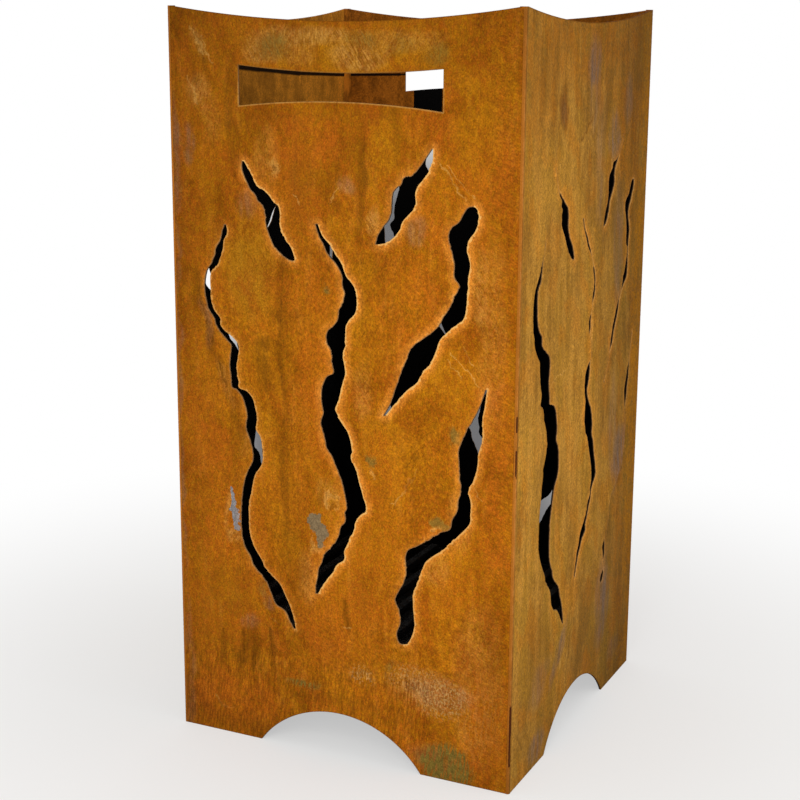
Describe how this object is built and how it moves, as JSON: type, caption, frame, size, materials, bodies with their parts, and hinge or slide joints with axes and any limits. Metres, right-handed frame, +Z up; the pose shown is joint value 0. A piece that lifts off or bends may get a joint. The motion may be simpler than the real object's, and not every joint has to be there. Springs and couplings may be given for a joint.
{
  "type": "fire barrel",
  "caption": "Square upright fire barrel of rusted steel plate with cut slits, handle slots, foot arches, lift-out ash pan and fire grate.",
  "frame": {"origin": "middle of the square footprint, on the ground", "axes": "+Z up, front plate with a handle slot facing -Y, +X to the right seen from the front"},
  "size_m": [0.4, 0.4, 0.8],
  "materials": {
    "rusted_plate": "weathering steel with an even orange-brown rust skin, matt",
    "rusted_weld": "rippled weld bead, rusted",
    "rusted_angle": "hot-rolled angle, dark rust",
    "pan_sheet": "folded sheet, rusted and sooty",
    "grate_bar_steel": "square bar, heat-scaled and sooty"
  },
  "bodies": {
    "shell": {"wall_front": "rusted_plate", "wall_right": "rusted_plate", "wall_back": "rusted_plate", "wall_left": "rusted_plate", "corner_weld_front_right": "rusted_weld", "corner_weld_back_right": "rusted_weld", "corner_weld_back_left": "rusted_weld", "corner_weld_front_left": "rusted_weld", "pan_ledge_front": "rusted_angle", "pan_ledge_right": "rusted_angle", "pan_ledge_back": "rusted_angle", "pan_ledge_left": "rusted_angle"},
    "pan": {"ash_pan": "pan_sheet"},
    "grate": {"grate_rail_front": "grate_bar_steel", "grate_rail_back": "grate_bar_steel", "grate_foot_front_left": "grate_bar_steel", "grate_foot_front_right": "grate_bar_steel", "grate_foot_back_left": "grate_bar_steel", "grate_foot_back_right": "grate_bar_steel", "grate_bar_01": "grate_bar_steel", "grate_bar_02": "grate_bar_steel", "grate_bar_03": "grate_bar_steel", "grate_bar_04": "grate_bar_steel", "grate_bar_05": "grate_bar_steel", "grate_bar_06": "grate_bar_steel", "grate_bar_07": "grate_bar_steel", "grate_bar_08": "grate_bar_steel", "grate_bar_09": "grate_bar_steel", "grate_bar_10": "grate_bar_steel", "grate_bar_11": "grate_bar_steel", "grate_bar_12": "grate_bar_steel", "grate_bar_13": "grate_bar_steel"}
  },
  "joints": [
    {"name": "ash_pan_lift", "type": "slide", "parent": "shell", "child": "pan", "axis": [0, 0, 1], "range_m": [0, 0.73]},
    {"name": "grate_lift", "type": "slide", "parent": "pan", "child": "grate", "axis": [0, 0, 1], "range_m": [0, 0.73]}
  ]
}
